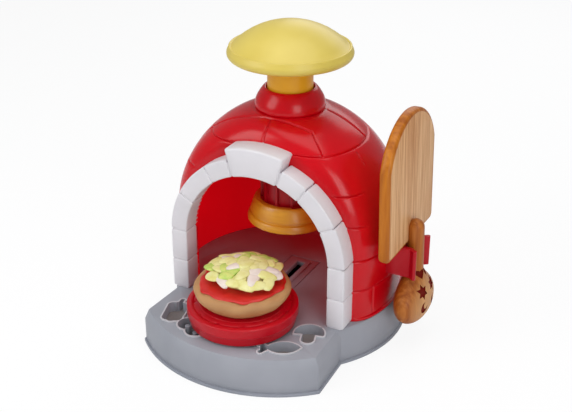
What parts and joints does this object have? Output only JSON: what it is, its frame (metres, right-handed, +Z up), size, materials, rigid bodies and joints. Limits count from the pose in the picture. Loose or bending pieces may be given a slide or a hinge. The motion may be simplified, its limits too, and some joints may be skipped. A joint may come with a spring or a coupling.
{
  "type": "toy oven",
  "caption": "Free-standing toy oven for modelling dough: red dome with a white brick archway on a grey base, a push-down dough press, a sliding pan, a dough pizza and a peel in a side clip.",
  "frame": {"origin": "centre of the round base at table level, on the axis of the dome and the knob", "axes": "+Z up along the dome's axis; the doorway, the apron and the pan face -Y; the peel hangs on the +X side"},
  "size_m": [0.2046, 0.2145, 0.229],
  "materials": {
    "base_grey": "satin",
    "base_grey_dark": "satin",
    "screw_steel": "bright",
    "dome_red": "glossy",
    "arch_white": "satin",
    "barrel_red": "glossy",
    "cup_orange": "satin",
    "die_yellow": "satin",
    "knob_yellow": "satin",
    "stem_orange": "satin",
    "piston_cream": "plain",
    "seal_rubber": "plain",
    "peel_tan": "wood-look grain, satin",
    "pan_red": "glossy",
    "dough_tan": "soft dough",
    "dough_red": "soft dough",
    "dough_cream": "soft dough"
  },
  "bodies": {
    "casing": {"base_tray": "base_grey", "bottom_plate": "base_grey_dark", "base_screws": "screw_steel", "dome_shell": "dome_red", "dome_screws": "screw_steel", "door_arch": "arch_white", "arch_screws": "screw_steel", "collar_ring": "dome_red", "barrel": "barrel_red", "barrel_screws": "screw_steel", "peel_clip": "dome_red", "clip_screws": "screw_steel"},
    "plunger": {"knob_cap": "knob_yellow", "knob_underside": "knob_yellow", "knob_screws": "screw_steel", "plunger_stem": "stem_orange", "piston_head": "piston_cream", "piston_seal": "seal_rubber", "stem_screw": "screw_steel"},
    "nozzle": {"nozzle_cup": "cup_orange", "die_disc": "die_yellow"},
    "pan": {"pan_tray": "pan_red", "pan_insert": "pan_red", "pan_slider": "barrel_red", "slider_screws": "screw_steel", "pizza_crust": "dough_tan", "pizza_sauce": "dough_red", "pizza_cheese": "dough_cream"},
    "peel": {"pizza_peel": "peel_tan"}
  },
  "joints": [
    {"name": "plunger_press", "type": "slide", "parent": "casing", "child": "plunger", "axis": [0, 0, -1], "range_m": [0, 0.02]},
    {"name": "cup_turn", "type": "hinge", "parent": "casing", "child": "nozzle", "pos_m": [0, 0, 0.08], "axis": [0, 0, 1], "range_deg": [0, 45]},
    {"name": "pan_slide", "type": "slide", "parent": "casing", "child": "pan", "axis": [0, 1, 0], "range_m": [0, 0.0736]},
    {"name": "peel_pull", "type": "slide", "parent": "casing", "child": "peel", "axis": [1, 0, 0], "range_m": [0, 0.05]}
  ]
}
